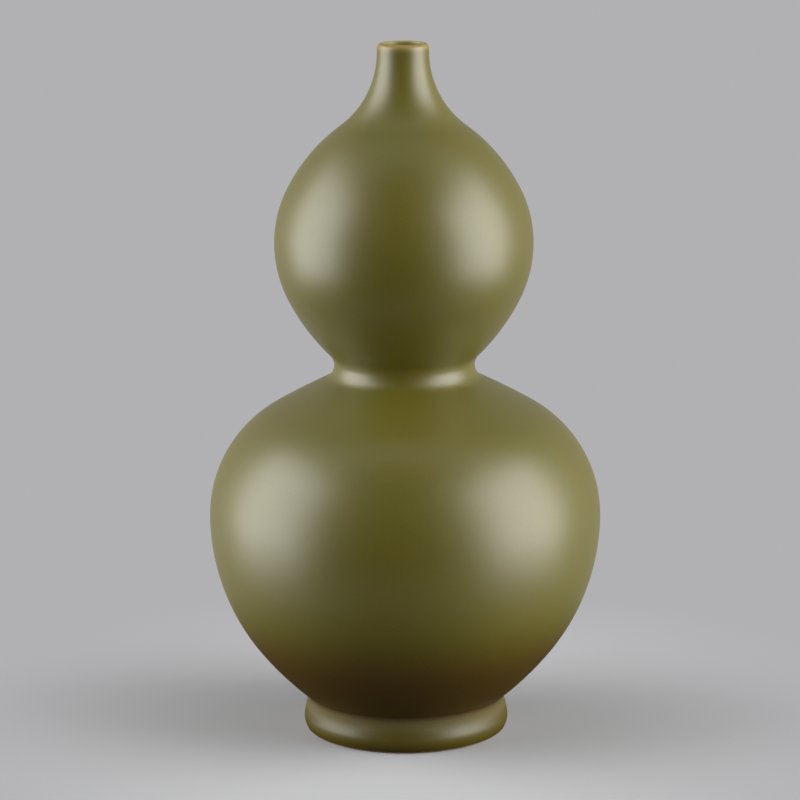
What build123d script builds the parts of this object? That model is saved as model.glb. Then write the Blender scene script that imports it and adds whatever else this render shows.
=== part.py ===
from build123d import *
import os
from math import asin, cos, radians, sin, sqrt, tan
from typing import NamedTuple

# A gourd-shaped bottle vase with two bulbs. It is thrown in sections, which are luted together with
# slip where the pot is widest or narrowest, and it is glazed outside, inside and under the foot.
# Millimetres. Z is the pot's axis, and the foot stands on z = 0.

# Outside of the glazed pot: radii, and the rise from each level to the next, from the foot up
foot_radius = 49.0
foot_bulge_height = 5.2
ankle_inset = 2.4  # the ankle is drawn in this far from the foot ring's widest point
ankle_rise = 16.6
belly_radius = 93.1
belly_rise = 88.6
waist_radius = 33.3
waist_rise = 72.5
bulb_radius = 61.0
bulb_rise = 58.3
neck_rise = 89.9
mouth_rise = 4.1

# Roundness of the outside. Between a swelling and the narrowing above or below it, two arcs that
# just touch would have radii that add up to one length. Each arc's radius is a share of that length.
# The two shares stay under 1 together, and a third, flatter arc joins the two arcs.
belly_low_share = 0.962
belly_high_share = 0.814
shoulder_share = 5.3
bulb_flank_share = 1.378
bulb_low_share = 0.786
bulb_high_share = 0.523
crown_share = 0.784
neck_bend_share = 0.404
waist_bend = 7.6
bowl_turn_share = 0.704  # of the turn from the belly to the ankle, before the bowl's flatter flank

# Clay wall, floor and mouth
wall = 4.5
floor_thickness = 7.0
floor_bend = 16.0
throat_radius = 9.1
neck_wall = 3.1  # with the glaze on both sides
throat_bend = 34.0
lip_inner_edge = 0.9

# Foot ring and the recess under the pot
ring_land = 1.2  # the bowl's turned edge between the foot ring's joint and the ankle
ring_rim_width = 6.6
ring_draft = 7.0  # degrees that the recess's wall leans inwards
ring_edge = 0.7

# Slip joints
slip = 0.8
bead_radius = 2.2
neck_joint_share = 0.72

# Glaze
glaze = 0.45
ankle_pool = 1.6  # radius of the glaze that gathers in the corner between bowl and foot ring
bare_rim = 0.1  # wiped clean above the foot ring's rounded standing edge
recess_glaze_line = 3.0

# Cuts run past what they cut by this much
overrun = 5.0


class Bend(NamedTuple):
    """One arc of an outline. The radius is negative where the outline is hollow."""

    centre: Vector
    radius: float
    start: Vector  # outward normals at the arc's two ends
    end: Vector


# Levels and derived radii
ankle_radius = foot_radius - ankle_inset
neck_radius = throat_radius + neck_wall
belly_height = ankle_rise + belly_rise
waist_height = belly_height + waist_rise
bulb_height = waist_height + bulb_rise
neck_height = bulb_height + neck_rise
height = neck_height + mouth_rise
neck_joint_height = bulb_height + neck_joint_share * neck_rise
crest_radius = throat_radius + lip_inner_edge
lip_outer_edge = neck_wall - lip_inner_edge
full_wall = glaze + wall + glaze
base_height = ankle_rise - ring_land
ring_height = base_height - slip
floor_height = base_height + floor_thickness
recess_radius = foot_radius - ring_rim_width
glaze_line = ring_edge + bare_rim

joint_heights = {
    "belly_seam": belly_height,
    "waist_seam": waist_height,
    "bulb_seam": bulb_height,
    "neck_seam": neck_joint_height,
}
section_names = ["lower_bowl", "lower_dome", "upper_bowl", "upper_dome", "neck"]

outward = Vector(1, 0)
upward = Vector(0, 1)
downward = Vector(0, -1)


def touching_sum(swelling, narrowing):
    """Sum of the radii of two touching arcs that are upright at these two points."""
    across = abs(swelling.X - narrowing.X)
    along = abs(swelling.Y - narrowing.Y)
    return (across**2 + along**2) / (2 * across)


def crossing(centre_a, radius_a, centre_b, radius_b, side):
    """Point at these distances from two centres, to the left (1) or right (-1) of the way from a to b."""
    way = centre_b - centre_a
    along = (way.length**2 + radius_a**2 - radius_b**2) / (2 * way.length)
    across = sqrt(radius_a**2 - along**2)
    ahead = way.normalized()
    return centre_a + ahead * along + Vector(-ahead.Y, ahead.X) * (side * across)


def upright_bend(point, radius):
    """Centre of an arc that is upright at this point."""
    return point - outward * radius


def joined(lower_centre, lower_radius, upper_centre, upper_radius, radius):
    """Three bends: the lower one, one of this radius that touches both, and the upper one."""
    centre = crossing(
        lower_centre, abs(radius - lower_radius), upper_centre, abs(radius - upper_radius), 1
    )
    low_normal = (lower_centre - centre) / (radius - lower_radius)
    high_normal = (upper_centre - centre) / (radius - upper_radius)
    return [
        Bend(lower_centre, lower_radius, outward, low_normal),
        Bend(centre, radius, low_normal, high_normal),
        Bend(upper_centre, upper_radius, high_normal, outward),
    ]


def foot_bend():
    """The foot ring's bulging face, from its widest point up to the ankle."""
    widest = Vector(foot_radius, foot_bulge_height)
    radius = touching_sum(widest, Vector(ankle_radius, ankle_rise))
    return upright_bend(widest, radius), radius


def body_bends():
    """Outside of the pot from the ankle to the neck, one bend after the other."""
    ankle = Vector(ankle_radius, ankle_rise)
    belly = Vector(belly_radius, belly_height)
    waist = Vector(waist_radius, waist_height)
    bulb = Vector(bulb_radius, bulb_height)
    neck = Vector(neck_radius, neck_height)

    bowl_pair = touching_sum(belly, ankle)
    bowl_turn = bowl_turn_share * asin(belly_rise / bowl_pair)
    belly_low = belly_low_share * bowl_pair
    belly_low_centre = upright_bend(belly, belly_low)
    at_flank = Vector(cos(bowl_turn), -sin(bowl_turn))
    chord = ankle - (belly_low_centre + at_flank * belly_low)
    flank = chord.length**2 / (-2 * chord.dot(at_flank))
    flank_centre = belly_low_centre + at_flank * (belly_low - flank)
    at_ankle = (ankle - flank_centre) / flank
    bowl = [
        Bend(flank_centre, flank, at_ankle, at_flank),
        Bend(belly_low_centre, belly_low, at_flank, outward),
    ]

    waist_centre = upright_bend(waist, -waist_bend)
    belly_pair = touching_sum(belly, waist)
    belly_high = belly_high_share * belly_pair
    belly_high_centre = upright_bend(belly, belly_high)
    shoulder_radius = shoulder_share * belly_pair
    shoulder = joined(belly_high_centre, belly_high, waist_centre, -waist_bend, shoulder_radius)

    bulb_pair = touching_sum(bulb, waist)
    bulb_low = bulb_low_share * bulb_pair
    bulb_low_centre = upright_bend(bulb, bulb_low)
    flare_radius = bulb_flank_share * bulb_pair
    flare = joined(waist_centre, -waist_bend, bulb_low_centre, bulb_low, flare_radius)

    neck_pair = touching_sum(bulb, neck)
    bulb_high = bulb_high_share * neck_pair
    bulb_high_centre = upright_bend(bulb, bulb_high)
    neck_bend = neck_bend_share * neck_pair
    neck_centre = upright_bend(neck, -neck_bend)
    crown_radius = crown_share * neck_pair
    crown = joined(bulb_high_centre, bulb_high, neck_centre, -neck_bend, crown_radius)
    return bowl + shoulder + flare + crown


def cavity_bends(outside):
    """Inside of the pot: the outside's bends moved in, a rounded floor and a narrower throat."""
    inside = [Bend(b.centre, b.radius - full_wall, b.start, b.end) for b in outside]

    flank = inside[0]
    corner_height = floor_height + floor_bend
    reach = flank.radius - floor_bend
    corner = Vector(
        flank.centre.X + sqrt(reach**2 - (corner_height - flank.centre.Y) ** 2), corner_height
    )
    at_flank = (corner - flank.centre).normalized()
    inside[0] = flank._replace(start=at_flank)

    crown = inside[-2]
    throat_x = throat_radius + throat_bend
    span = crown.radius + throat_bend
    throat = Vector(throat_x, crown.centre.Y + sqrt(span**2 - (throat_x - crown.centre.X) ** 2))
    at_crown = (throat - crown.centre).normalized()
    inside[-2] = crown._replace(end=at_crown)
    inside[-1] = Bend(throat, -throat_bend, at_crown, outward)
    return [Bend(corner, floor_bend, downward, at_flank)] + inside


def arc(bend, inset):
    """The bend's arc, moved towards the pot's axis by the inset."""
    radius = bend.radius - inset
    middle = (bend.start + bend.end).normalized()
    return ThreePointArc(
        bend.centre + bend.start * radius, bend.centre + middle * radius, bend.centre + bend.end * radius
    )


def radius_at(bends, level):
    """Radius of an outline at this level."""
    for bend in bends:
        low = bend.centre.Y + bend.start.Y * bend.radius
        high = bend.centre.Y + bend.end.Y * bend.radius
        if low <= level <= high:
            reach = sqrt(bend.radius**2 - (level - bend.centre.Y) ** 2)
            return bend.centre.X + (reach if bend.radius > 0 else -reach)


def outer_profile(inset):
    """Half section of the whole pot as if it were solid, with its outside moved in by the inset."""
    outside = body_bends()
    foot_centre, foot = foot_bend()
    flank = outside[0]
    ankle = crossing(flank.centre, flank.radius - inset, foot_centre, foot - inset, 1)
    toe = foot_centre + Vector(sqrt((foot - inset) ** 2 - foot_bulge_height**2), -foot_bulge_height)
    foot_arc = Bend(
        foot_centre, foot, (toe - foot_centre).normalized(), (ankle - foot_centre).normalized()
    )
    outside[0] = flank._replace(start=(ankle - flank.centre).normalized())
    neck_top = Vector(neck_radius - inset, height - lip_outer_edge)
    lip = Bend(Vector(crest_radius, height - lip_outer_edge), lip_outer_edge, outward, upward)
    edges = [Line((0, 0), toe), arc(foot_arc, inset)]
    edges += [arc(bend, inset) for bend in outside]
    edges += [
        Line((neck_radius - inset, neck_height), neck_top),
        arc(lip, inset),
        Line((crest_radius, height - inset), (0, height - inset)),
        Line((0, height - inset), (0, 0)),
    ]
    return make_face(edges)


def cavity_profile(growth):
    """Half section of the inside, with its walls moved out from the glazed surface by the growth."""
    inside = cavity_bends(body_bends())
    throat = inside[-1]
    lip_height = height - lip_inner_edge
    lip = Bend(Vector(crest_radius, lip_height), -lip_inner_edge, outward, downward)
    above = height + overrun
    floor = floor_height - growth
    edges = [Line((0, floor), (inside[0].centre.X, floor))]
    edges += [arc(bend, -growth) for bend in inside]
    edges += [
        Line((throat_radius + growth, throat.centre.Y), (throat_radius + growth, lip_height)),
        arc(lip, -growth),
        Line((crest_radius, height - growth), (crest_radius, above)),
        Line((crest_radius, above), (0, above)),
        Line((0, above), (0, floor)),
    ]
    return make_face(edges)


def recess_profile(inset):
    """Half section of the recess under the pot, with its wall and ceiling moved in by the inset."""
    lean = tan(radians(ring_draft))
    sideways = inset / cos(radians(ring_draft))
    ceiling = base_height - inset
    low = recess_radius - sideways
    return make_face(
        Polyline((0, 0), (low, 0), (low - lean * ceiling, ceiling), (0, ceiling), close=True)
    )


def slab(bottom, top):
    """Everything between two levels, out to past the belly."""
    reach = belly_radius + overrun
    return Pos(0, bottom) * Rectangle(reach, top - bottom, align=(Align.MIN, Align.MIN))


def turned(profile):
    """Solid of revolution of a half section."""
    return revolve(Plane.XZ * profile, Axis.Z)


def foot_ring():
    """Thrown foot ring, turned true, with its standing edges rubbed round."""
    ring = turned((outer_profile(glaze) & slab(0, ring_height)) - recess_profile(0))
    standing_edges = ring.edges().group_by(Axis.Z)[0]
    return fillet(standing_edges, ring_edge)


def beads(radius):
    """Round ridge of squeezed-out slip inside each body joint."""
    clay_inside = [b._replace(radius=b.radius + glaze) for b in cavity_bends(body_bends())]
    return [
        Pos(radius_at(clay_inside, level), level) * Circle(radius) & cavity_profile(glaze)
        for level in joint_heights.values()
    ]


def clay_and_slip():
    """The thrown sections from the base up, and the slip joint above each of them but the last."""
    clay = outer_profile(glaze) - cavity_profile(glaze)
    slip_beads = beads(bead_radius)
    pieces = {}
    bottom = base_height
    for index, (seam, level) in enumerate(joint_heights.items()):
        joint_bottom = level - slip / 2
        joint_top = level + slip / 2
        pieces[section_names[index]] = turned(clay & slab(bottom, joint_bottom))
        pieces[seam] = turned((clay & slab(joint_bottom, joint_top)) + slip_beads[index])
        bottom = joint_top
    pieces[section_names[-1]] = turned(clay & slab(bottom, height))
    return pieces


def foot_seam():
    """Slip joint between the foot ring and the bowl."""
    return turned((outer_profile(glaze) & slab(ring_height, base_height)) - recess_profile(0))


def outer_glaze():
    """Coat on the outside, from just above the bare standing rim to the crest of the lip."""
    surface = outer_profile(0)
    corner = surface.vertices().sort_by_distance((ankle_radius, ankle_rise))[0]
    coat = fillet(corner, ankle_pool) - outer_profile(glaze) - cavity_profile(glaze)
    return turned(coat & slab(glaze_line, height))


def inner_glaze():
    """Coat on the inside, from the crest of the lip down over the slip ridges and the floor."""
    coat = cavity_profile(glaze) - cavity_profile(0)
    for swell in beads(bead_radius + glaze):
        coat = coat + swell
    for bead in beads(bead_radius):
        coat = coat - bead
    return turned(coat)


def recess_glaze():
    """Coat on the recess's ceiling and wall, short of the bare standing rim."""
    return turned((recess_profile(0) - recess_profile(glaze)) & slab(recess_glaze_line, base_height))


nodes = {
    "foot_ring": foot_ring(),
    "foot_seam": foot_seam(),
    **clay_and_slip(),
    "outer_glaze": outer_glaze(),
    "inner_glaze": inner_glaze(),
    "recess_glaze": recess_glaze(),
}

os.makedirs("parts", exist_ok=True)
for name, piece in nodes.items():
    export_step(piece, f"parts/{name}.step")
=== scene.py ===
from cmath import phase, rect
from collections import namedtuple
from math import asin, cos, pi, radians, sin, sqrt, tan

import bpy
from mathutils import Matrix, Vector


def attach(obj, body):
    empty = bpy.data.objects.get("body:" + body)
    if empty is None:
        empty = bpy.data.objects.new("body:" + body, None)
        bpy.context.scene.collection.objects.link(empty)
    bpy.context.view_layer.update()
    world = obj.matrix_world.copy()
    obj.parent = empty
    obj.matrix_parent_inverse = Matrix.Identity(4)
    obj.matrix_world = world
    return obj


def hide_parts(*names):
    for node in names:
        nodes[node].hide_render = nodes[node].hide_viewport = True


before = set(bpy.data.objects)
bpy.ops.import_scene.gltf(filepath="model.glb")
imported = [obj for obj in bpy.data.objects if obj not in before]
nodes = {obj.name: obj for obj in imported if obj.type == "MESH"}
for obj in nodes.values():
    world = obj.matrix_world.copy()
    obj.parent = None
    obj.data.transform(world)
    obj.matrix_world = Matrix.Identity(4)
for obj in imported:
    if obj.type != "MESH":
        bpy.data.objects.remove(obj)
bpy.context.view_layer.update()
print("frame loaded:", len(nodes), "nodes")

mm = 0.001


# The pot's half section, in millimetres. A point is a complex number: its distance from the axis,
# and its level as the imaginary part. The outside is upright at the ankle, the belly, the waist,
# the bulb and the neck. Where two arcs that are upright at neighbouring ones of them just touch,
# their radii add up to a fixed length, and a radius given as a share is a share of that.

potShape = {
    "ankle": 46.6 + 16.6j, "belly": 93.1 + 105.2j, "waist": 33.3 + 177.7j,
    "bulb": 61.0 + 236.0j, "neck": 12.2 + 325.9j,
    "crest": 10.0 + 330.0j,  # top of the lip
    "lipOutside": 2.2, "lipInside": 0.9,  # roundness of the lip
    "bowlTurnShare": 0.704,  # of the turn from belly to ankle, before the flatter bowl begins
    "bellyLowShare": 0.962, "bellyHighShare": 0.814,
    "shoulderShare": 5.3, "flareShare": 1.378,
    "waistBend": 7.6,
    "bulbLowShare": 0.786, "bulbHighShare": 0.523,
    "crownShare": 0.784, "neckBendShare": 0.404,
    "glaze": 0.45, "wall": 4.5,
    "floorLevel": 22.4, "floorBend": 16.0,
    "throatRadius": 9.1, "throatBend": 34.0,
    "neckJointShare": 0.72,  # of the way up from bulb to neck; the others are at belly, waist, bulb
    "ridgeRadius": 2.2,  # of the slip squeezed out inside each joint
}

footShape = {
    "widest": 49.0 + 5.8j,  # of the glazed foot ring
    "edgeRadius": 9.0,  # roundness of its lower edge
    "faceFrom": 10.5,  # degrees, upward turn of the outside where the leaning face begins
    "faceRadius": 260.0,
    "poolRadius": 2.8,  # glaze gathered in the corner above the ring
    "coatBottom": 1.02,
    "clayBulge": 49.0 + 5.2j,  # widest point of the arc that the clay follows under the pool
    "clayFaceTop": 14.1,
    "jointLevel": 14.6,
    "standingEdge": 0.7,
    "recessRadius": 42.4, "draft": 7.0,  # the recess's wall leans in, in degrees
    "recessTop": 15.4, "recessCorner": 1.5,
    "recessGlazeLine": 3.0,
}

outward, upward, downward = 1 + 0j, 1j, -1j

# An arc of the section. A hollow one has a minus radius, and low and high are the ways out of the
# pot, square to the surface, at its two ends.
bend = namedtuple("bend", "centre radius low high")


def touchingSum(swelling, narrowing):  # of the radii of two touching arcs, each upright at a point
    way = swelling - narrowing
    return abs(way) ** 2 / (2 * abs(way.real))


def crossing(first, firstReach, second, secondReach, side):  # side 1 is left of the way to second
    way = second - first
    along = (abs(way) ** 2 + firstReach**2 - secondReach**2) / (2 * abs(way))
    return first + way / abs(way) * complex(along, side * sqrt(firstReach**2 - along**2))


def bendBetween(low, lowRadius, high, highRadius, radius, side=1):  # touches both of its neighbours
    centre = crossing(low, abs(radius - lowRadius), high, abs(radius - highRadius), side)
    atLow, atHigh = (low - centre) / (radius - lowRadius), (high - centre) / (radius - highRadius)
    return bend(centre, radius, atLow, atHigh)


def directionAt(level, centre, radius):  # the way out of the pot where an arc reaches a level
    rise = (level - centre.imag) / radius
    return complex(sqrt(1 - rise**2), rise)


def bodyBends(shape):  # the glazed outside, from the ankle up to the neck
    ankle, belly, waist = shape["ankle"], shape["belly"], shape["waist"]
    bulb, neck = shape["bulb"], shape["neck"]
    bowlSum = touchingSum(belly, ankle)
    bellyLow = shape["bellyLowShare"] * bowlSum
    atBowl = rect(1, -shape["bowlTurnShare"] * asin((belly - ankle).imag / bowlSum))
    chord = ankle - (belly - bellyLow + atBowl * bellyLow)
    bowlRadius = abs(chord) ** 2 / (-2 * (chord * atBowl.conjugate()).real)
    bowlCentre = belly - bellyLow + atBowl * (bellyLow - bowlRadius)

    waistBend, waistCentre = -shape["waistBend"], waist + shape["waistBend"]
    bellySum = touchingSum(belly, waist)
    bellyHigh = shape["bellyHighShare"] * bellySum
    shoulderRadius = shape["shoulderShare"] * bellySum
    shoulder = bendBetween(belly - bellyHigh, bellyHigh, waistCentre, waistBend, shoulderRadius)

    bulbSum = touchingSum(bulb, waist)
    bulbLow = shape["bulbLowShare"] * bulbSum
    flareRadius = shape["flareShare"] * bulbSum
    flare = bendBetween(waistCentre, waistBend, bulb - bulbLow, bulbLow, flareRadius)

    neckSum = touchingSum(bulb, neck)
    bulbHigh = shape["bulbHighShare"] * neckSum
    neckBend = -shape["neckBendShare"] * neckSum
    crownRadius = shape["crownShare"] * neckSum
    crown = bendBetween(bulb - bulbHigh, bulbHigh, neck - neckBend, neckBend, crownRadius)
    return [
        bend(bowlCentre, bowlRadius, (ankle - bowlCentre) / bowlRadius, atBowl),
        bend(belly - bellyLow, bellyLow, atBowl, outward),
        bend(belly - bellyHigh, bellyHigh, outward, shoulder.low),
        shoulder,
        bend(waistCentre, waistBend, shoulder.high, flare.low),
        flare,
        bend(bulb - bulbLow, bulbLow, flare.high, outward),
        bend(bulb - bulbHigh, bulbHigh, outward, crown.low),
        crown,
        bend(neck - neckBend, neckBend, crown.high, outward),
    ]


def insideBends(shape, growth):  # from the floor up to the throat, moved into the wall by growth
    inset = 2 * shape["glaze"] + shape["wall"]
    bends = [part._replace(radius=part.radius - inset) for part in bodyBends(shape)]

    bowl, floorBend = bends[0], shape["floorBend"]
    cornerLevel = shape["floorLevel"] + floorBend
    atBowl = directionAt(cornerLevel, bowl.centre, bowl.radius - floorBend)
    corner = bowl.centre + atBowl * (bowl.radius - floorBend)
    bends[0] = bowl._replace(low=atBowl)

    crown, throatBend = bends[-2], shape["throatBend"]
    reach = crown.radius + throatBend
    across = (shape["throatRadius"] + throatBend - crown.centre.real) / reach
    atCrown = complex(across, sqrt(1 - across**2))
    throat = crown.centre + atCrown * reach
    bends[-2] = crown._replace(high=atCrown)
    bends[-1] = bend(throat, -throatBend, atCrown, outward)
    bends.insert(0, bend(corner, floorBend, downward, atBowl))
    return [part._replace(radius=part.radius + growth) for part in bends]


def arcsDown(bends):  # an arc is its centre and its turn, anticlockwise as seen from the front
    return [(part.centre, phase(part.low / part.high)) for part in reversed(bends)]


def ridgeArcs(shape, growth, upper, lower, level):  # round the slip ridge between two bends
    clayRadius = lower.radius - growth + shape["glaze"]  # the ridge is centred on the clay's face
    ridge = lower.centre + clayRadius * directionAt(level, lower.centre, clayRadius)
    reach = shape["ridgeRadius"] + shape["glaze"] - growth
    side = 1 if upper.radius > 0 else -1
    above = crossing(upper.centre, abs(upper.radius), ridge, reach, side)
    below = crossing(lower.centre, abs(lower.radius), ridge, reach, -side)
    return [
        (upper.centre, phase((above - upper.centre) / upper.radius / upper.high)),
        (ridge, phase((below - ridge) / (above - ridge)) % (2 * pi)),
        (lower.centre, phase(lower.low * lower.radius / (below - lower.centre))),
    ]


def insideArcs(shape, growth):  # from the throat down to the floor, over the ridges of the joints
    bends = insideBends(shape, growth)
    corner, bowl, bellyLow, bellyHigh, shoulder, waist = bends[:6]
    flare, bulbLow, bulbHigh, crown, throat = bends[6:]
    neckJoint = shape["bulb"] + shape["neckJointShare"] * (shape["neck"] - shape["bulb"])
    arcs = []
    for upper, lower, level, rest in (
        (throat, throat, neckJoint.imag, [crown]),
        (bulbHigh, bulbLow, shape["bulb"].imag, [flare]),
        (waist, waist, shape["waist"].imag, [shoulder]),
        (bellyHigh, bellyLow, shape["belly"].imag, [corner, bowl]),
    ):
        arcs += ridgeArcs(shape, growth, upper, lower, level) + arcsDown(rest)
    return arcs


def startOutline(point):
    bpy.ops.object.select_all(action="DESELECT")
    bpy.ops.mesh.primitive_plane_add(size=mm, location=(point.real * mm, 0, point.imag * mm))
    bpy.ops.object.transform_apply(location=True, rotation=True, scale=True)
    bpy.ops.object.mode_set(mode="EDIT")
    bpy.ops.mesh.select_all(action="SELECT")
    bpy.ops.mesh.merge(type="CENTER")


def lineBy(way):
    step = (way.real * mm, 0, way.imag * mm)
    bpy.ops.mesh.extrude_region_move(TRANSFORM_OT_translate={"value": step})


def arcRound(centre, turn, steps):  # its radius is whatever the outline has reached by then
    middle = (centre.real * mm, 0, centre.imag * mm)
    bpy.ops.mesh.spin(steps=steps, angle=turn, center=middle, axis=(0, 1, 0))


def drawDown(arcs, steps):
    for (centre, turn), count in zip(arcs, steps, strict=True):
        arcRound(centre, turn, count)


def drawUp(arcs, steps):  # the same arcs from their other end, last one first
    for (centre, turn), count in reversed(list(zip(arcs, steps, strict=True))):
        arcRound(centre, -turn, count)


turning = {
    "mergeOutline": 0.02 * mm, "mergeSkin": 0.005 * mm,
    "smoothAngle": 40,  # degrees
}


def turnPiece(name, steps):
    bpy.ops.mesh.select_all(action="SELECT")
    bpy.ops.mesh.remove_doubles(threshold=turning["mergeOutline"])
    bpy.ops.mesh.spin(steps=steps, angle=2 * pi, center=(0, 0, 0), axis=(0, 0, 1))
    bpy.ops.mesh.select_all(action="SELECT")
    bpy.ops.mesh.remove_doubles(threshold=turning["mergeSkin"])
    bpy.ops.mesh.normals_make_consistent(inside=False)
    bpy.ops.object.mode_set(mode="OBJECT")
    piece = bpy.context.object
    piece.name = name
    piece.data.name = name
    bpy.ops.object.shade_smooth_by_angle(angle=radians(turning["smoothAngle"]))
    return piece


def startMaterial(name):
    material = bpy.data.materials.new(name)
    material.use_nodes = True
    material.node_tree.nodes.clear()
    return material, material.node_tree


def addNode(tree, kind, inputs=None, **settings):
    node = tree.nodes.new(kind)
    for key, value in settings.items():
        setattr(node, key, value)
    for key, value in (inputs or {}).items():
        if isinstance(value, bpy.types.NodeSocket):
            tree.links.new(value, node.inputs[key])
        else:
            node.inputs[key].default_value = value
    return node


patternTurn = (0.4, 0.7, 0.2)  # so that no pattern lines up with the pot's axis


def patternPoint(tree):
    coordinates = addNode(tree, "ShaderNodeTexCoord")
    inputs = {"Vector": coordinates.outputs["Object"], "Rotation": patternTurn}
    return addNode(tree, "ShaderNodeMapping", inputs).outputs["Vector"]


def levelOnPot(tree):  # in metres above the standing face
    coordinates = addNode(tree, "ShaderNodeTexCoord")
    parts = addNode(tree, "ShaderNodeSeparateXYZ", {"Vector": coordinates.outputs["Object"]})
    return parts.outputs["Z"]


def noise(tree, point, scale, detail, roughness):
    inputs = {"Vector": point, "Scale": scale, "Detail": detail, "Roughness": roughness}
    return addNode(tree, "ShaderNodeTexNoise", inputs).outputs["Fac"]


def ranged(tree, value, fromLow, fromHigh, toLow=0.0, toHigh=1.0):
    inputs = {
        "Value": value, "From Min": fromLow, "From Max": fromHigh, "To Min": toLow, "To Max": toHigh
    }
    node = addNode(tree, "ShaderNodeMapRange", inputs, interpolation_type="SMOOTHSTEP", clamp=True)
    return node.outputs["Result"]


def mixed(tree, share, first, second):  # two colours
    node = addNode(tree, "ShaderNodeMix", {0: share, 6: first, 7: second}, data_type="RGBA")
    return node.outputs[2]


def combined(tree, operation, first, second):
    return addNode(tree, "ShaderNodeMath", {0: first, 1: second}, operation=operation).outputs[0]


def finishMaterial(tree, colour, rough, height, look):
    strength, depth = look["bump"]
    inputs = {"Strength": strength, "Distance": depth, "Height": height}
    bump = addNode(tree, "ShaderNodeBump", inputs)
    shader = addNode(tree, "ShaderNodeBsdfPrincipled", {
        "Base Color": colour, "Roughness": rough, "Normal": bump.outputs["Normal"],
        "Specular IOR Level": look["specular"],
    })
    addNode(tree, "ShaderNodeOutputMaterial", {"Surface": shader.outputs[0]})


def give(piece, material):
    piece.data.materials.clear()
    piece.data.materials.append(material)


# In the looks, a noise is its scale per metre, its detail and its roughness. A range is where it
# starts and ends, in noise or in metres above the standing face, and, where these aren't 0 and 1,
# its results there. A bump is its strength and its depth in metres.

outerGlazeLook = {
    "thick": (0.083, 0.072, 0.003, 1),  # olive where the coat is full
    "warm": (0.086, 0.070, 0.003, 1),  # browner clouds in it
    "crystals": (0.135, 0.124, 0.018, 1),  # fine yellow-green flecks
    "thin": (0.205, 0.150, 0.034, 1),  # golden where it runs thin over the lip
    "low": (0.066, 0.034, 0.001, 1),  # painted shade and painted dark brown reflection, darker and browner towards the foot
    "clouds": (16.0, 3.0, 0.5),
    "flecks": (1500.0, 2.0, 0.6),
    "peel": (320.0, 2.0, 0.5),  # slight unevenness of the surface
    "warmRange": (0.38, 0.62),
    "fleckRange": (0.50, 0.66, 0.0, 0.2),
    "thinRange": (0.3258, 0.3296),
    "paintedShadeRange": (0.037, 0.071, 1.0, 0.0),
    "ringPaintedShadeRange": (0.0140, 0.0168, 0.4, 1.0),  # the painted shade and reflection is weaker on the foot ring, which is more olive again
    "mattRise": (0.0085, 0.0155, 0.0, 0.45),  # rougher on the pool and the ring's shoulder
    "mattFall": (0.0162, 0.0195, 1.0, 0.0),
    "roughRange": (0.3, 0.7, 0.41, 0.43),
    "specular": 0.67,
    "bump": (0.25, 0.00004),
}


def makeOuterGlaze(look):
    material, tree = startMaterial("outerGlaze")
    point, level = patternPoint(tree), levelOnPot(tree)
    clouds = noise(tree, point, *look["clouds"])
    flecks = noise(tree, point, *look["flecks"])
    peel = noise(tree, point, *look["peel"])
    # mask of the painted shade and painted dark brown reflection, by height towards the foot
    low = combined(
        tree, "MULTIPLY",
        ranged(tree, level, *look["paintedShadeRange"]),
        ranged(tree, level, *look["ringPaintedShadeRange"]),
    )
    matt = combined(
        tree, "MULTIPLY",
        ranged(tree, level, *look["mattRise"]),
        ranged(tree, level, *look["mattFall"]),
    )
    body = mixed(tree, ranged(tree, clouds, *look["warmRange"]), look["thick"], look["warm"])
    # mixes in the painted shade and painted reflection towards the foot
    body = mixed(tree, low, body, look["low"])
    body = mixed(tree, ranged(tree, flecks, *look["fleckRange"]), body, look["crystals"])
    body = mixed(tree, ranged(tree, level, *look["thinRange"]), body, look["thin"])
    rough = combined(tree, "ADD", ranged(tree, clouds, *look["roughRange"]), matt)
    finishMaterial(tree, body, rough, peel, look)
    return material


innerGlazeLook = {
    "thick": (0.078, 0.070, 0.006, 1),
    "pooled": (0.040, 0.032, 0.004, 1),
    "crystals": (0.140, 0.125, 0.020, 1),
    "thin": (0.260, 0.205, 0.070, 1),
    "clouds": (22.0, 3.0, 0.5),
    "flecks": (1400.0, 2.0, 0.6),
    "pooledRange": (0.4, 0.65),
    "fleckRange": (0.52, 0.68, 0.0, 0.4),
    "thinRange": (0.3180, 0.3292),
    "roughRange": (0.3, 0.7, 0.26, 0.36),
    "specular": 0.4,
    "bump": (0.3, 0.0002),
}


def makeInnerGlaze(look):
    material, tree = startMaterial("innerGlaze")
    point, level = patternPoint(tree), levelOnPot(tree)
    clouds = noise(tree, point, *look["clouds"])
    flecks = noise(tree, point, *look["flecks"])
    body = mixed(tree, ranged(tree, clouds, *look["pooledRange"]), look["thick"], look["pooled"])
    body = mixed(tree, ranged(tree, flecks, *look["fleckRange"]), body, look["crystals"])
    body = mixed(tree, ranged(tree, level, *look["thinRange"]), body, look["thin"])
    rough = ranged(tree, clouds, *look["roughRange"])
    finishMaterial(tree, body, rough, clouds, look)
    return material


recessGlazeLook = {
    "thick": (0.060, 0.050, 0.016, 1),
    "brushed": (0.110, 0.080, 0.026, 1),
    "crystals": (0.190, 0.170, 0.060, 1),
    "clouds": (45.0, 4.0, 0.55),
    "flecks": (1300.0, 2.0, 0.6),
    "brushedRange": (0.35, 0.65),
    "fleckRange": (0.5, 0.66, 0.0, 0.4),
    "roughRange": (0.3, 0.7, 0.30, 0.42),
    "specular": 0.4,
    "bump": (0.35, 0.0002),
}


def makeRecessGlaze(look):
    material, tree = startMaterial("recessGlaze")
    point = patternPoint(tree)
    clouds = noise(tree, point, *look["clouds"])
    flecks = noise(tree, point, *look["flecks"])
    body = mixed(tree, ranged(tree, clouds, *look["brushedRange"]), look["thick"], look["brushed"])
    body = mixed(tree, ranged(tree, flecks, *look["fleckRange"]), body, look["crystals"])
    rough = ranged(tree, clouds, *look["roughRange"])
    finishMaterial(tree, body, rough, clouds, look)
    return material


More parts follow.
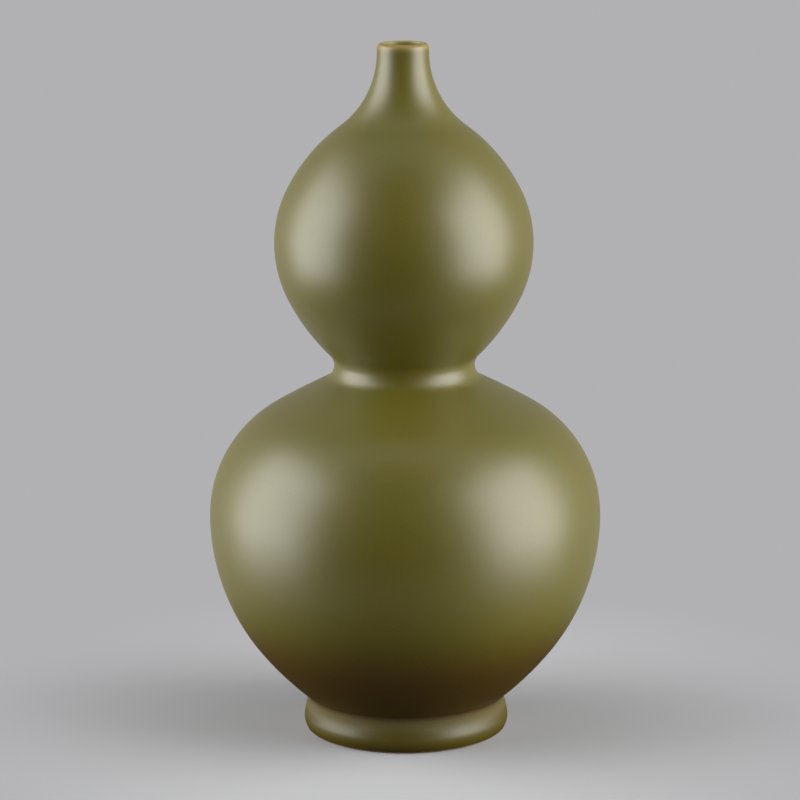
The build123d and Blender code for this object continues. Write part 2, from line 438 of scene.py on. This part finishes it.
clayLook = {
    "body": (0.48, 0.33, 0.19, 1),
    "flashed": (0.36, 0.20, 0.095, 1),  # warmer where the flame touched it
    "iron": (0.10, 0.05, 0.02, 1),  # specks
    "clouds": (60.0, 3.0, 0.5),
    "grog": (1100.0, 3.0, 0.65),
    "specks": (900.0, 1.0, 0.5),
    "flashedRange": (0.35, 0.7),
    "speckRange": (0.70, 0.76, 0.0, 0.8),
    "roughRange": (0.3, 0.7, 0.72, 0.9),
    "specular": 0.3,
    "bump": (0.5, 0.0002),
}

slipLook = {
    **clayLook,
    "body": (0.52, 0.38, 0.24, 1),
    "flashed": (0.44, 0.30, 0.17, 1),
    "iron": (0.20, 0.11, 0.05, 1),
    "grog": (1800.0, 3.0, 0.65),  # finer than the clay's
}


def makeClay(name, look):
    material, tree = startMaterial(name)
    point = patternPoint(tree)
    clouds = noise(tree, point, *look["clouds"])
    grog = noise(tree, point, *look["grog"])
    specks = noise(tree, point, *look["specks"])
    body = mixed(tree, ranged(tree, clouds, *look["flashedRange"]), look["body"], look["flashed"])
    body = mixed(tree, ranged(tree, specks, *look["speckRange"]), body, look["iron"])
    rough = ranged(tree, grog, *look["roughRange"])
    finishMaterial(tree, body, rough, grog, look)
    return material


outerGlaze = makeOuterGlaze(outerGlazeLook)
innerGlaze = makeInnerGlaze(innerGlazeLook)
recessGlaze = makeRecessGlaze(recessGlazeLook)
clay = makeClay("clay", clayLook)
slip = makeClay("slip", slipLook)
print("materials made")


# Arcs that the foot ring and the coat on it share. Under the coat, the face stops below the luted
# joint, and a short bevel leads to the clay's sharp corner.

bowl = bodyBends(potShape)[0]
glaze = potShape["glaze"]
edgeCentre = footShape["widest"] - footShape["edgeRadius"]
faceLow = rect(1, radians(footShape["faceFrom"]))
faceCentre = edgeCentre + (footShape["edgeRadius"] - footShape["faceRadius"]) * faceLow
clayFace = footShape["faceRadius"] - glaze
clayFaceHigh = directionAt(footShape["clayFaceTop"], faceCentre, clayFace)
bulgeRadius = touchingSum(footShape["clayBulge"], potShape["ankle"])  # of one arc through both
bulgeCentre = footShape["clayBulge"] - bulgeRadius
jointDirection = directionAt(footShape["jointLevel"], bulgeCentre, bulgeRadius - glaze)
jointCorner = bulgeCentre + (bulgeRadius - glaze) * jointDirection
clayBevel = jointCorner - (faceCentre + clayFace * clayFaceHigh)


outerCoat = {
    "lipSteps": 18,
    "bodySteps": (18, 17, 12, 12, 14, 18, 12, 27, 30),  # from the neck down to the bowl
    "bodyStepsBack": (9, 8, 6, 6, 7, 9, 6, 13, 15),
    "footSteps": (14, 14, 8, 14),  # bowl, pool, face and lower edge
    "rollSteps": 8,  # the coat's rounded end
    "edgeStepsBack": 14, "faceStepsBack": 4, "bulgeStepsBack": 3, "bowlStepsBack": 7,
    "turnSteps": 192,
}


def makeOuterCoat(size, shape, foot):
    lipCentre = shape["crest"] - 1j * shape["lipOutside"]
    neckDrop = 1j * (lipCentre - shape["neck"]).imag
    pool = bendBetween(
        faceCentre, foot["faceRadius"], bowl.centre, bowl.radius, -foot["poolRadius"], -1
    )
    coatEnd = directionAt(foot["coatBottom"], edgeCentre, foot["edgeRadius"])
    rollCentre = edgeCentre + (foot["edgeRadius"] - glaze / 2) * coatEnd
    ankle = crossing(bowl.centre, bowl.radius - glaze, bulgeCentre, bulgeRadius - glaze, 1)
    body = arcsDown(bodyBends(shape)[1:])
    footArcs = [
        (bowl.centre, phase(pool.high / bowl.high)),
        (pool.centre, phase(pool.low / pool.high)),
        (faceCentre, phase(faceLow / pool.low)),
        (edgeCentre, phase(coatEnd / faceLow)),
    ]

    startOutline(shape["crest"])
    arcRound(lipCentre, phase(outward / upward), size["lipSteps"])
    lineBy(-neckDrop)
    drawDown(body, size["bodySteps"])
    drawDown(footArcs, size["footSteps"])
    arcRound(rollCentre, -pi, size["rollSteps"])
    arcRound(edgeCentre, phase(faceLow / coatEnd), size["edgeStepsBack"])
    arcRound(faceCentre, phase(clayFaceHigh / faceLow), size["faceStepsBack"])
    lineBy(clayBevel)
    arcRound(bulgeCentre, phase((ankle - bulgeCentre) / jointDirection), size["bulgeStepsBack"])
    arcRound(bowl.centre, phase(bowl.high / (ankle - bowl.centre)), size["bowlStepsBack"])
    drawUp(body, size["bodyStepsBack"])
    lineBy(neckDrop)
    arcRound(lipCentre, phase(upward / outward), size["lipSteps"])
    lineBy(1j * glaze)
    return turnPiece("outerGlazeCoat", size["turnSteps"])


outerGlazeCoat = makeOuterCoat(outerCoat, potShape, footShape)
give(outerGlazeCoat, outerGlaze)
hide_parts("outer_glaze")
print("outer coat made:", len(outerGlazeCoat.data.polygons), "faces")


innerCoat = {
    "floorShares": (0.4, 0.6),
    "glazedSteps": (10, 14, 6, 8, 6, 12, 6, 7, 5, 12, 7, 4, 12, 12, 12, 5, 6),
    "claySteps": (6, 8, 4, 6, 4, 8, 4, 5, 4, 8, 5, 4, 8, 8, 8, 4, 4),
    "lipSteps": 12,
    "turnSteps": 160,
}


def makeInnerCoat(size, shape):
    glazedSide = insideArcs(shape, 0)
    claySide = insideArcs(shape, glaze)
    throatCentre, floorCorner = glazedSide[0][0], glazedSide[-1][0]
    lipCentre = shape["crest"] - 1j * shape["lipInside"]
    throatRise = 1j * (lipCentre - throatCentre).imag
    lipTurn = phase(-outward / upward)

    startOutline(1j * shape["floorLevel"])
    for share in size["floorShares"]:
        lineBy(share * floorCorner.real)
    drawUp(glazedSide, size["glazedSteps"])
    lineBy(throatRise)
    arcRound(lipCentre, -lipTurn, size["lipSteps"])
    lineBy(-1j * glaze)
    arcRound(lipCentre, lipTurn, size["lipSteps"])
    lineBy(-throatRise)
    drawDown(claySide, size["claySteps"])
    for share in reversed(size["floorShares"]):
        lineBy(-share * floorCorner.real)
    return turnPiece("innerGlazeCoat", size["turnSteps"])


innerGlazeCoat = makeInnerCoat(innerCoat, potShape)
give(innerGlazeCoat, innerGlaze)
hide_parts("inner_glaze")
print("inner coat made:", len(innerGlazeCoat.data.polygons), "faces")


ringSize = {
    "grooves": 5,  # left by the turning tool in the standing face
    "grooveDepth": 0.04,
    "edgeSteps": 6,  # of the two edges rubbed round with a wet finger
    "lowerEdgeSteps": 14, "faceSteps": 4,
    "turnSteps": 192,
}

recessLean = rect(1, radians(footShape["draft"]))  # from the recess square into its wall


def onRecessWall(level, inset):  # the inset is towards the axis
    draft = radians(footShape["draft"])
    return complex(footShape["recessRadius"] - inset / cos(draft) - tan(draft) * level, level)


def makeFootRing(size, foot):
    edge = foot["standingEdge"]
    innerEdge = onRecessWall(edge, -edge)
    clayEdge = foot["edgeRadius"] - glaze
    outerDirection = directionAt(edge, edgeCentre, clayEdge - edge)
    outerEdge = edgeCentre + (clayEdge - edge) * outerDirection
    halfGroove = (outerEdge - innerEdge).real / (2 * size["grooves"])
    start = innerEdge - edge * recessLean
    wallTop = onRecessWall(foot["jointLevel"], 0)

    startOutline(start)
    arcRound(innerEdge, phase(downward / -recessLean), size["edgeSteps"])
    for groove in range(size["grooves"]):
        lineBy(complex(halfGroove, size["grooveDepth"]))
        lineBy(complex(halfGroove, -size["grooveDepth"]))
    arcRound(outerEdge, phase(outerDirection / downward), size["edgeSteps"])
    arcRound(edgeCentre, phase(faceLow / outerDirection), size["lowerEdgeSteps"])
    arcRound(faceCentre, phase(clayFaceHigh / faceLow), size["faceSteps"])
    lineBy(clayBevel)
    lineBy(wallTop - jointCorner)
    lineBy(start - wallTop)
    return turnPiece("footRing", size["turnSteps"])


footRing = makeFootRing(ringSize, footShape)
give(footRing, clay)
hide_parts("foot_ring")
print("foot ring made:", len(footRing.data.polygons), "faces")


recessCoat = {
    "ceilingBreak": 20.0,  # radius of a ring of edges across the ceiling
    "cornerSteps": 8, "rollSteps": 8,
    "turnSteps": 160,
}


def makeRecessCoat(size, foot):
    ceiling = foot["recessTop"] - glaze
    corner = onRecessWall(ceiling - foot["recessCorner"], glaze + foot["recessCorner"])
    roll = onRecessWall(foot["recessGlazeLine"] + glaze / 2, glaze / 2)
    rollReach = glaze / 2 * recessLean
    clayCorner = onRecessWall(foot["recessTop"], 0)

    startOutline(1j * ceiling)
    lineBy(size["ceilingBreak"])
    lineBy(corner.real - size["ceilingBreak"])
    arcRound(corner, phase(recessLean / upward), size["cornerSteps"])
    lineBy(roll - rollReach - (corner + foot["recessCorner"] * recessLean))
    arcRound(roll, pi, size["rollSteps"])  # the coat's edge, where the wall turns bare
    lineBy(clayCorner - (roll + rollReach))
    lineBy(size["ceilingBreak"] - clayCorner.real)
    lineBy(-size["ceilingBreak"])
    return turnPiece("recessGlazeCoat", size["turnSteps"])


recessGlazeCoat = makeRecessCoat(recessCoat, footShape)
give(recessGlazeCoat, recessGlaze)
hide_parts("recess_glaze")
print("recess coat made:", len(recessGlazeCoat.data.polygons), "faces")

for name, node in nodes.items():
    give(node, slip if name.endswith("seam") else clay)
pieces = (outerGlazeCoat, innerGlazeCoat, footRing, recessGlazeCoat)
for piece in pieces:
    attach(piece, "root")
print("pieces ride")


stageLook = {
    "backdrop": (0.440, 0.440, 0.455, 1),
    "floor": (0.425, 0.420, 0.440, 1),
    "bounce": (0.06, 0.045, 0.035, 1),  # what the near floor throws back on the pot
    "cloth": (0.01, 0.01, 0.01, 1),
    "ambient": 0.03,
    "floorRadius": 0.30, "floorSides": 128,
    "holeRadius": 0.0460,  # under the foot ring, so that the recess gets light from below
    "farRange": (0.09, 0.27),  # the floor turns into the backdrop
}


def seenRay(tree, *kinds):
    path = addNode(tree, "ShaderNodeLightPath")
    either = path.outputs["Is Camera Ray"]
    for kind in kinds:
        either = combined(tree, "MAXIMUM", either, path.outputs[kind])
    return either


def joined(tree, share, first, second):  # two shaders
    inputs = {0: share, 1: first.outputs[0], 2: second.outputs[0]}
    return addNode(tree, "ShaderNodeMixShader", inputs)


def makeFloor(look):
    radius = look["floorRadius"]
    bpy.ops.object.select_all(action="DESELECT")
    bpy.ops.mesh.primitive_circle_add(vertices=look["floorSides"], radius=radius, fill_type="NGON")
    bpy.ops.object.mode_set(mode="EDIT")
    bpy.ops.mesh.select_all(action="SELECT")
    bpy.ops.mesh.inset(thickness=radius - look["holeRadius"])
    bpy.ops.mesh.delete(type="FACE")
    bpy.ops.object.mode_set(mode="OBJECT")
    floor = bpy.context.object
    floor.name = "floor"
    material, tree = startMaterial("paleFloor")
    coordinates = addNode(tree, "ShaderNodeTexCoord")
    inputs = {0: coordinates.outputs["Object"]}
    reach = addNode(tree, "ShaderNodeVectorMath", inputs, operation="LENGTH")
    far = ranged(tree, reach.outputs["Value"], *look["farRange"])
    geometry = addNode(tree, "ShaderNodeNewGeometry")
    matte = addNode(tree, "ShaderNodeBsdfDiffuse", {"Color": look["floor"]})
    glow = addNode(tree, "ShaderNodeEmission", {"Color": look["backdrop"]})
    dull = addNode(tree, "ShaderNodeBsdfDiffuse", {"Color": look["bounce"]})
    near = joined(tree, seenRay(tree, "Is Transmission Ray"), dull, matte)
    beyond = joined(tree, seenRay(tree, "Is Glossy Ray", "Is Transmission Ray"), dull, glow)
    clear = addNode(tree, "ShaderNodeBsdfTransparent")  # from below it is no hindrance
    both = joined(tree, geometry.outputs["Backfacing"], joined(tree, far, near, beyond), clear)
    addNode(tree, "ShaderNodeOutputMaterial", {"Surface": both.outputs[0]})
    give(floor, material)


def makeWorld(look):
    world = bpy.data.worlds.new("studio")
    world.use_nodes = True
    tree = world.node_tree
    tree.nodes.clear()
    seen = addNode(tree, "ShaderNodeBackground", {"Color": look["backdrop"]})
    inputs = {"Color": (1, 1, 1, 1), "Strength": look["ambient"]}
    soft = addNode(tree, "ShaderNodeBackground", inputs)
    mix = joined(tree, seenRay(tree, "Is Glossy Ray", "Is Transmission Ray"), soft, seen)
    addNode(tree, "ShaderNodeOutputWorld", {"Surface": mix.outputs[0]})
    bpy.context.scene.world = world


flagSize = {
    "radius": 2.6, "segments": 64, "rings": 32,
    "openFrom": 0.9,  # the side towards the backdrop stays open
}


def makeDarkFlag(size, look):
    bpy.ops.object.select_all(action="DESELECT")
    bpy.ops.mesh.primitive_uv_sphere_add(
        segments=size["segments"], ring_count=size["rings"], radius=size["radius"]
    )
    bpy.ops.object.mode_set(mode="EDIT")
    bpy.ops.mesh.select_all(action="SELECT")
    bpy.ops.mesh.bisect(plane_co=(0, size["openFrom"], 0), plane_no=(0, 1, 0), clear_outer=True)
    bpy.ops.object.mode_set(mode="OBJECT")
    flag = bpy.context.object
    flag.name = "darkFlag"
    material, tree = startMaterial("blackCloth")
    cloth = addNode(tree, "ShaderNodeBsdfDiffuse", {"Color": look["cloth"]})
    addNode(tree, "ShaderNodeOutputMaterial", {"Surface": cloth.outputs[0]})
    give(flag, material)
    flag.visible_camera = False
    flag.visible_diffuse = False
    flag.visible_shadow = False
    flag.visible_transmission = False


softboxes = {  # azimuth from the camera's side, to the right, and rise, in degrees
    "leftSoftbox": {"azimuth": -86, "rise": 12, "away": 1.80, "size": (1.80, 2.30), "glow": 6.4},
    "rightSoftbox": {"azimuth": 74, "rise": 12, "away": 1.80, "size": (1.80, 2.30), "glow": 7.2},
    "topSoftbox": {"azimuth": 0, "rise": 86, "away": 1.70, "size": (3.60, 0.90), "glow": 0.8},
    "underSoftbox": {"azimuth": 0, "rise": -90, "away": 1.00, "size": (0.70, 0.70), "glow": 2.0},
}
lampColour = (0.985, 1.0, 0.97)
lampAim = 0.17  # height that the lamps face


def makeSoftbox(name, size):
    around, rise = radians(size["azimuth"]), radians(size["rise"])
    way = Vector((sin(around) * cos(rise), -cos(around) * cos(rise), sin(rise)))
    bpy.ops.object.light_add(type="AREA", location=way * size["away"] + Vector((0, 0, lampAim)))
    lamp = bpy.context.object
    lamp.name = name
    lamp.data.shape = "RECTANGLE"
    width, height = size["size"]
    lamp.data.size, lamp.data.size_y = width, height
    lamp.data.energy = size["glow"] * pi * width * height
    lamp.data.color = lampColour
    lamp.rotation_euler = way.to_track_quat("Z", "Y").to_euler()
    lamp.visible_camera = False


makeWorld(stageLook)
makeFloor(stageLook)
makeDarkFlag(flagSize, stageLook)
for name, size in softboxes.items():
    makeSoftbox(name, size)
print("stage made")


cameraSize = {
    "target": 0.16037,  # height that it faces, in metres
    "distance": 1.6812,
    "pitch": 11.83, "roll": -0.27,  # degrees
    "lens": 159.38,
    "shift": -0.00575,
    "clipEnd": 60,
}


def makeCamera(size):
    pitch = radians(size["pitch"])
    place = (0, -size["distance"] * cos(pitch), size["target"] + size["distance"] * sin(pitch))
    bpy.ops.object.camera_add(location=place)
    camera = bpy.context.object
    camera.rotation_mode = "ZYX"
    camera.rotation_euler = (pi / 2 - pitch, 0, radians(size["roll"]))
    camera.data.lens = size["lens"]
    camera.data.shift_x = size["shift"]
    camera.data.clip_end = size["clipEnd"]
    bpy.context.scene.camera = camera


makeCamera(cameraSize)
bpy.context.scene.view_settings.view_transform = "Standard"

print("scene done")
